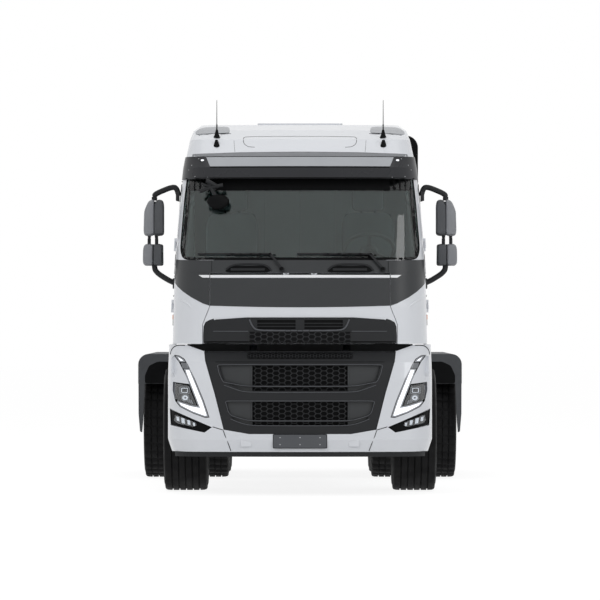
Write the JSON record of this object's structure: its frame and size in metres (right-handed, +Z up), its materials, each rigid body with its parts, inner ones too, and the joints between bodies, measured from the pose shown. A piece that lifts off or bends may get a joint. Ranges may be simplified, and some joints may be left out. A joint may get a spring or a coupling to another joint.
{
  "type": "semi truck tractor unit",
  "caption": "Cab-over semi truck tractor unit with tilting cab, opening doors, front lid and roof hatch, steered front axle, tandem drive axles with twin wheels and a coupling plate.",
  "frame": {"origin": "on the ground at the middle of the overall length and width", "axes": "+Z up, -Y the way the truck faces, +X its left (driver's) side"},
  "size_m": [3.05, 6.6998, 3.4048],
  "materials": {
    "cab_paint": "satin white paint",
    "dark_plastic": "moulded dark grey plastic",
    "grey_plastic": "mid grey moulded plastic",
    "chassis_paint": "dark grey chassis paint",
    "cast_iron": "cast and painted",
    "window_glass": "green tinted glass",
    "lamp_lens": "clear lamp lens over a bright reflector",
    "tail_lens": "red lamp lens",
    "tyre": "black tyre rubber",
    "rim_steel": "silver painted steel",
    "aluminium": "brushed aluminium",
    "trim_fabric": "woven seat fabric"
  },
  "bodies": {
    "chassis": {"frame": "chassis_paint", "front_axle": "cast_iron", "driveline": "cast_iron", "springs": "chassis_paint", "engine": "cast_iron", "radiator": "aluminium", "bumper": "cab_paint", "lower_grille": "dark_plastic", "front_lamps": "lamp_lens", "bumper_lip": "dark_plastic", "entry_steps": "dark_plastic", "front_mudguards": "dark_plastic", "fuel_tank": "aluminium", "side_boxes": "dark_plastic", "deck_plate": "aluminium", "rear_mudguards": "dark_plastic", "fifth_wheel_base": "cast_iron", "tail_lamps": "tail_lens"},
    "steer_left": {"knuckle_left": "cast_iron"},
    "steer_right": {"knuckle_right": "cast_iron"},
    "track_rod": {"tie_rod": "cast_iron"},
    "cab": {"cab_floor": "cab_paint", "cab_front": "cab_paint", "cab_side_left": "cab_paint", "cab_side_right": "cab_paint", "cab_back": "cab_paint", "cab_roof": "cab_paint", "windshield": "window_glass", "sun_visor": "dark_plastic", "dashboard": "dark_plastic", "seats": "trim_fabric", "bunk": "trim_fabric", "cab_fittings": "dark_plastic", "wipers": "dark_plastic", "air_intake": "dark_plastic"},
    "left_door": {"door_left": "cab_paint", "door_glass_left": "window_glass", "mirrors_left": "dark_plastic"},
    "right_door": {"door_right": "cab_paint", "door_glass_right": "window_glass", "mirrors_right": "dark_plastic"},
    "front_lid": {"lid_panel": "cab_paint", "lid_grille": "dark_plastic"},
    "hatch": {"roof_hatch": "cab_paint"},
    "driver_wheel": {"steering_wheel": "dark_plastic"},
    "coupling_plate": {"fifth_wheel_plate": "cast_iron"},
    "wheel_front_left": {"tyre_front_left": "tyre", "rim_front_left": "rim_steel"},
    "wheel_front_right": {"tyre_front_right": "tyre", "rim_front_right": "rim_steel"},
    "wheels_mid_left": {"tyres_mid_left": "tyre", "rims_mid_left": "rim_steel"},
    "wheels_mid_right": {"tyres_mid_right": "tyre", "rims_mid_right": "rim_steel"},
    "wheels_rear_left": {"tyres_rear_left": "tyre", "rims_rear_left": "rim_steel"},
    "wheels_rear_right": {"tyres_rear_right": "tyre", "rims_rear_right": "rim_steel"}
  },
  "joints": [
    {"name": "cab_tilt", "type": "hinge", "parent": "chassis", "child": "cab", "pos_m": [0, -3.15, 1.02], "axis": [1, 0, 0], "range_deg": [0, 60]},
    {"name": "door_left_hinge", "type": "hinge", "parent": "cab", "child": "left_door", "pos_m": [1.10397, -2.724, 1.62], "axis": [0.0475, 0, -0.9989], "range_deg": [0, 70]},
    {"name": "door_right_hinge", "type": "hinge", "parent": "cab", "child": "right_door", "pos_m": [-1.10397, -2.724, 1.62], "axis": [0.0475, 0, 0.9989], "range_deg": [0, 70]},
    {"name": "front_lid_hinge", "type": "hinge", "parent": "cab", "child": "front_lid", "pos_m": [0, -3.314, 1.892], "axis": [-1, 0, 0], "range_deg": [0, 60]},
    {"name": "roof_hatch_hinge", "type": "hinge", "parent": "cab", "child": "hatch", "pos_m": [0, -1.58, 3.226], "axis": [-1, 0, 0], "range_deg": [0, 30]},
    {"name": "steering", "type": "hinge", "parent": "chassis", "child": "steer_left", "pos_m": [0.78, -1.97, 0.536], "axis": [0, 0, 1], "range_deg": [-40, 40]},
    {"name": "steering_right", "type": "hinge", "parent": "chassis", "child": "steer_right", "pos_m": [-0.78, -1.97, 0.536], "axis": [0, 0, 1], "range_deg": [-40, 40]},
    {"name": "tie_rod_pivot", "type": "hinge", "parent": "steer_left", "child": "track_rod", "pos_m": [0.78, -1.79, 0.396], "axis": [0, 0, 1], "range_deg": [-40, 40]},
    {"name": "driver_wheel_turn", "type": "hinge", "parent": "cab", "child": "driver_wheel", "pos_m": [0.6, -2.55, 2.105], "axis": [0, 0.6428, 0.766], "range_deg": [-720, 720]},
    {"name": "coupling_pitch", "type": "hinge", "parent": "chassis", "child": "coupling_plate", "pos_m": [0, 1.65, 1.13], "axis": [1, 0, 0], "range_deg": [-10, 10]},
    {"name": "wheel_front_left_spin", "type": "hinge", "parent": "steer_left", "child": "wheel_front_left", "pos_m": [1, -1.97, 0.536], "axis": [1, 0, 0], "continuous": true},
    {"name": "wheels_mid_left_spin", "type": "hinge", "parent": "chassis", "child": "wheels_mid_left", "pos_m": [1.077, 1.23, 0.536], "axis": [1, 0, 0], "continuous": true},
    {"name": "wheels_rear_left_spin", "type": "hinge", "parent": "chassis", "child": "wheels_rear_left", "pos_m": [1.077, 2.6, 0.536], "axis": [1, 0, 0], "continuous": true},
    {"name": "wheel_front_right_spin", "type": "hinge", "parent": "steer_right", "child": "wheel_front_right", "pos_m": [-1, -1.97, 0.536], "axis": [1, 0, 0], "continuous": true},
    {"name": "wheels_mid_right_spin", "type": "hinge", "parent": "chassis", "child": "wheels_mid_right", "pos_m": [-1.077, 1.23, 0.536], "axis": [1, 0, 0], "continuous": true},
    {"name": "wheels_rear_right_spin", "type": "hinge", "parent": "chassis", "child": "wheels_rear_right", "pos_m": [-1.077, 2.6, 0.536], "axis": [1, 0, 0], "continuous": true}
  ],
  "couplings": [
    {"joint": "steering_right", "follows": "steering", "ratio": 1},
    {"joint": "tie_rod_pivot", "follows": "steering", "ratio": -1},
    {"joint": "driver_wheel_turn", "follows": "steering", "ratio": 18}
  ]
}
